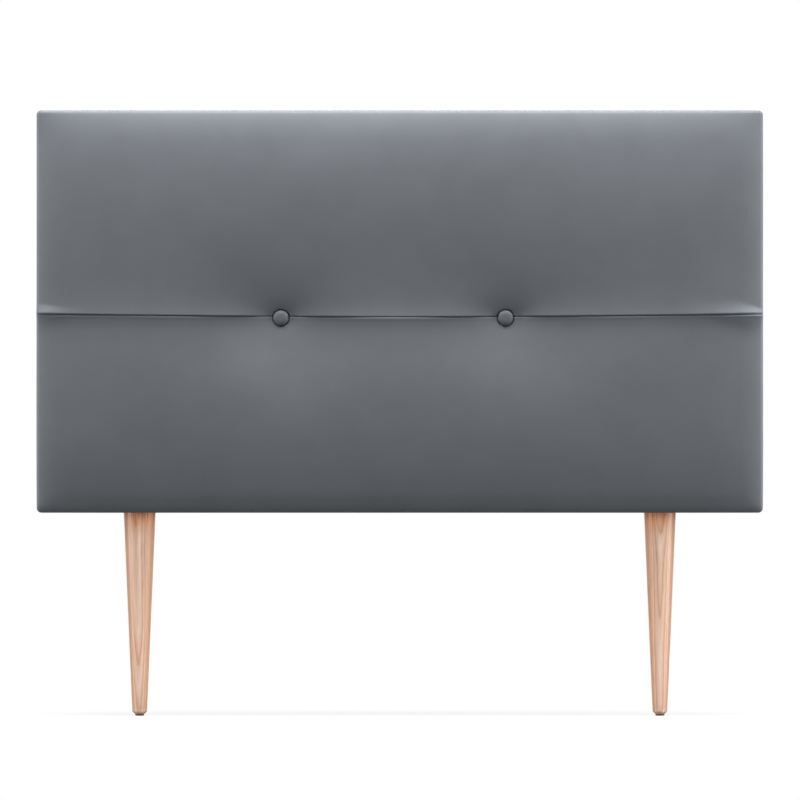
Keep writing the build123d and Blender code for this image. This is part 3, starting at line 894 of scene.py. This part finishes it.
def cloth_mesh():
    """The dust cloth: its edges turned under, held down at each staple and a little slack between the rails."""
    low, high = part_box("back_cloth")
    outer, inner = high.y, high.y - hem_share * (high.y - low.y)

    def line(start, end):
        field = np.linspace(start + hem_turn, end - hem_turn, round((end - start) / cloth_step))
        first = [(start + hem_width, inner), (start + 3 * hem_turn, inner), (start, (inner + outer) / 2)]
        last = [(end, (inner + outer) / 2), (end - 3 * hem_turn, inner), (end - hem_width, inner)]
        return first + [(place, outer) for place in field] + last

    across, up = line(low.x, high.x), line(low.z, high.z)
    x, z = np.meshgrid([place for place, _ in across], [place for place, _ in up])
    y = np.minimum(*np.meshgrid([depth for _, depth in across], [depth for _, depth in up]))
    main = y > outer - weld
    slack = np.zeros_like(x)
    rails = [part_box(name) for name in ("bottom_rail", "middle_rail", "top_rail")]
    stiles = [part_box(name) for name in ("left_stile", "right_stile")]
    wide = (x - stiles[0][1].x) / (stiles[1][0].x - stiles[0][1].x)
    for under, over in zip(rails, rails[1:]):
        tall = (z - under[1].z) / (over[0].z - under[1].z)
        inside = (wide > 0) & (wide < 1) & (tall > 0) & (tall < 1)
        sag = np.sin(math.pi * np.clip(wide, 0, 1)) ** sag_power_across
        sag = sag * np.sin(math.pi * np.clip(tall, 0, 1)) ** sag_power_up
        slack = np.where(inside, sag, slack)

    waves = np.sin(wave_across * x + wave_up * z + wave_bend * np.sin(wave_bend_rate * z))
    bend = cross_bend * np.sin(cross_bend_rate * x + cross_bend_start)
    waves = waves + np.sin(cross_across * x + cross_up * z + bend)
    y = y - np.where(main, slack * (cloth_slack + cloth_wrinkle * waves), 0)
    for place in islands("cloth_staples"):
        away = np.hypot(x - place.x, z - place.z)
        turn = np.arctan2(z - place.z, x - place.x)
        dip = staple_dip * np.exp(-((away / staple_pull) ** 2)) * (1 + staple_ray_share * np.cos(staple_rays * turn))
        on_side = abs(place.x) > high.x - hem_width
        along, inward = (z - place.z, x - place.x) if on_side else (x - place.x, z - place.z)
        furrow = np.exp(-((along / furrow_width) ** 2)) * np.exp(-np.abs(inward) / furrow_length)
        y = y - np.where(main, dip + furrow_depth * furrow * slack, 0)
    rows, cols = x.shape
    faces = [
        (j * cols + i, (j + 1) * cols + i, (j + 1) * cols + i + 1, j * cols + i + 1)
        for j in range(rows - 1)
        for i in range(cols - 1)
    ]
    return np.stack([x, y, z], -1).reshape(-1, 3).tolist(), faces


cloth = mesh_object("stapled_dust_cloth", *cloth_mesh())
cloth.data.materials.append(cloth_material)
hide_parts("back_cloth")
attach(cloth, "root")

# The hanger bolts' two threads
bolt_around = 28
wood_rings, machine_rings = 60, 156
machine_pitch = 1.25 * MM
machine_depth = 0.6 * MM
wood_pitch = 3.0 * MM
wood_depth = 1.1 * MM
chamfer = 0.8 * MM


def bolt_mesh(low, high, joint_z):
    """A hanger bolt: a machine thread above joint_z and a wood thread below it, each one running helix."""
    radius = (high.x - low.x) / 2
    middle = (low + high) / 2
    heights = [low.z + (joint_z - low.z) * k / wood_rings for k in range(wood_rings)]
    heights += [joint_z + (high.z - joint_z) * k / machine_rings for k in range(machine_rings + 1)]
    verts = []
    for z in heights:
        pitch, depth = (machine_pitch, machine_depth) if z >= joint_z else (wood_pitch, wood_depth)
        end = max(0, chamfer - (high.z - z)) + max(0, 2 * chamfer - (z - low.z))
        for step in range(bolt_around):
            turn = step / bolt_around
            ridge = abs(2 * ((z / pitch - turn) % 1) - 1)
            r = radius - depth * ridge - min(end, radius / 2)
            angle = 2 * math.pi * turn
            verts.append((middle.x + r * math.cos(angle), middle.y + r * math.sin(angle), z))
    faces = []
    for ring in range(len(heights) - 1):
        for step in range(bolt_around):
            a, b = ring * bolt_around + step, ring * bolt_around + (step + 1) % bolt_around
            faces.append((a, b, b + bolt_around, a + bolt_around))
    faces.append(tuple(reversed(range(bolt_around))))
    faces.append(tuple(range(len(verts) - bolt_around, len(verts))))
    return verts, faces


for side in ("left", "right"):
    low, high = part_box(f"{side}_leg_bolt")
    bolt = mesh_object(f"{side}_hanger_bolt", *bolt_mesh(low, high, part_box(f"{side}_leg")[1].z))
    bolt.data.materials.append(finish["zinc_plate"])
    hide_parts(f"{side}_leg_bolt")
    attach(bolt, f"{side}_bolt")

# Camera, floor, background and lamps

# The camera is level, far off and square to the front; one pixel of the picture is 1.4897 mm at the part
camera_distance = 13.0
sensor_width = 36.0
pixel = 1.4897 * MM
photo_width = 800 * pixel
photo_eye = 316 * pixel
photo_aside = 0.3 * MM

camera_data = bpy.data.cameras.new("camera")
camera_data.sensor_width = sensor_width
camera_data.lens = sensor_width * camera_distance / photo_width
camera_data.clip_end = 100
camera = bpy.data.objects.new("camera", camera_data)
bpy.context.scene.collection.objects.link(camera)
camera.location = (photo_aside, -camera_distance, photo_eye)
camera.rotation_euler = (math.radians(90), 0, 0)
bpy.context.scene.camera = camera

# The floor shows as white far off and keeps the object's shadow near it; to other rays it is dark
floor_half = 8.0
shadow_reach, white_from = 0.7, 1.3
near_glow_strength = 0.76

floor_corners = [(x * floor_half, y * floor_half, 0) for x, y in ((-1, -1), (1, -1), (1, 1), (-1, 1))]
floor = mesh_object("floor", floor_corners, [(0, 1, 2, 3)])
ground = Shader("pale_floor")
ground.set(Base_Color=(0.1, 0.1, 0.1, 1), Roughness=0.9)
rays = ground.node("ShaderNodeLightPath").outputs
mirrored = ground.maths("MAXIMUM", rays["Is Glossy Ray"], rays["Is Transmission Ray"])
seen = ground.maths("MAXIMUM", rays["Is Camera Ray"], mirrored)
away = ground.node("ShaderNodeVectorMath", {0: ground.place}, operation="LENGTH").outputs["Value"]
white = ground.ranged(away, shadow_reach, white_from, 0.0, 1.0)
shade = ground.node("ShaderNodeBsdfDiffuse", {"Color": (0.2, 0.2, 0.2, 1)})
glow = ground.node("ShaderNodeEmission", {"Color": (1, 1, 1, 1), "Strength": near_glow_strength})
near_glow = ground.node("ShaderNodeAddShader", {0: shade.outputs[0], 1: glow.outputs[0]})
far_glow = ground.node("ShaderNodeEmission", {"Color": (1, 1, 1, 1), "Strength": 1.0})
pale = ground.node("ShaderNodeMixShader", {0: white, 1: near_glow.outputs[0], 2: far_glow.outputs[0]})
shown = ground.node("ShaderNodeMixShader", {0: seen, 1: ground.surface.outputs[0], 2: pale.outputs[0]})
ground.tree.links.new(shown.outputs[0], ground.tree.nodes["Material Output"].inputs["Surface"])
floor.data.materials.append(ground.material)
floor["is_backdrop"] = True

# The background is white where it is seen and gives only a weak light
background_light = 0.12

world = bpy.data.worlds.new("studio")
bpy.context.scene.world = world
world.use_nodes = True
nodes, links = world.node_tree.nodes, world.node_tree.links
path = nodes.new("ShaderNodeLightPath").outputs
seen = path["Is Camera Ray"]
for other in ("Is Glossy Ray", "Is Transmission Ray"):
    either = nodes.new("ShaderNodeMath")
    either.operation = "MAXIMUM"
    links.new(seen, either.inputs[0])
    links.new(path[other], either.inputs[1])
    seen = either.outputs[0]
strength = nodes.new("ShaderNodeMapRange")
links.new(seen, strength.inputs["Value"])
strength.inputs["To Min"].default_value = background_light
strength.inputs["To Max"].default_value = 1.0
links.new(strength.outputs["Result"], nodes["Background"].inputs["Strength"])
nodes["Background"].inputs["Color"].default_value = (1, 1, 1, 1)


def lamp(name, place, target, size, power, spread=180):
    """A soft box that lights but isn't seen."""
    data = bpy.data.lights.new(name, "AREA")
    data.shape = "RECTANGLE"
    data.size, data.size_y = size
    data.energy = power
    data.spread = math.radians(spread)
    obj = bpy.data.objects.new(name, data)
    bpy.context.scene.collection.objects.link(obj)
    obj.location = place
    obj.rotation_euler = (Vector(target) - Vector(place)).to_track_quat("-Z", "Y").to_euler()
    obj.visible_camera = False


lamp("top_box", place=(0, -0.25, 1.9), target=(0, 0, 0.75), size=(2.2, 0.7), power=66)
lamp("front_fill", place=(-0.45, -4.0, 1.2), target=(0, 0, 0.4), size=(0.5, 0.5), power=6)
lamp("left_box", place=(-2.2, -0.32, 0.5), target=(0, 0, 0.5), size=(0.8, 1.2), power=35)
lamp("right_box", place=(2.2, -0.32, 0.5), target=(0, 0, 0.5), size=(0.8, 1.2), power=46.5)
lamp("leg_strip", place=(0, -1.2, 0.136), target=(0, 0, 0.136), size=(1.5, 0.31), power=0.585, spread=4)
lamp("back_box", place=(0, 3.0, 1.0), target=(0, 0, 0.6), size=(2.4, 1.2), power=45)

bpy.context.scene.view_settings.view_transform = "Standard"

low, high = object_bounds()
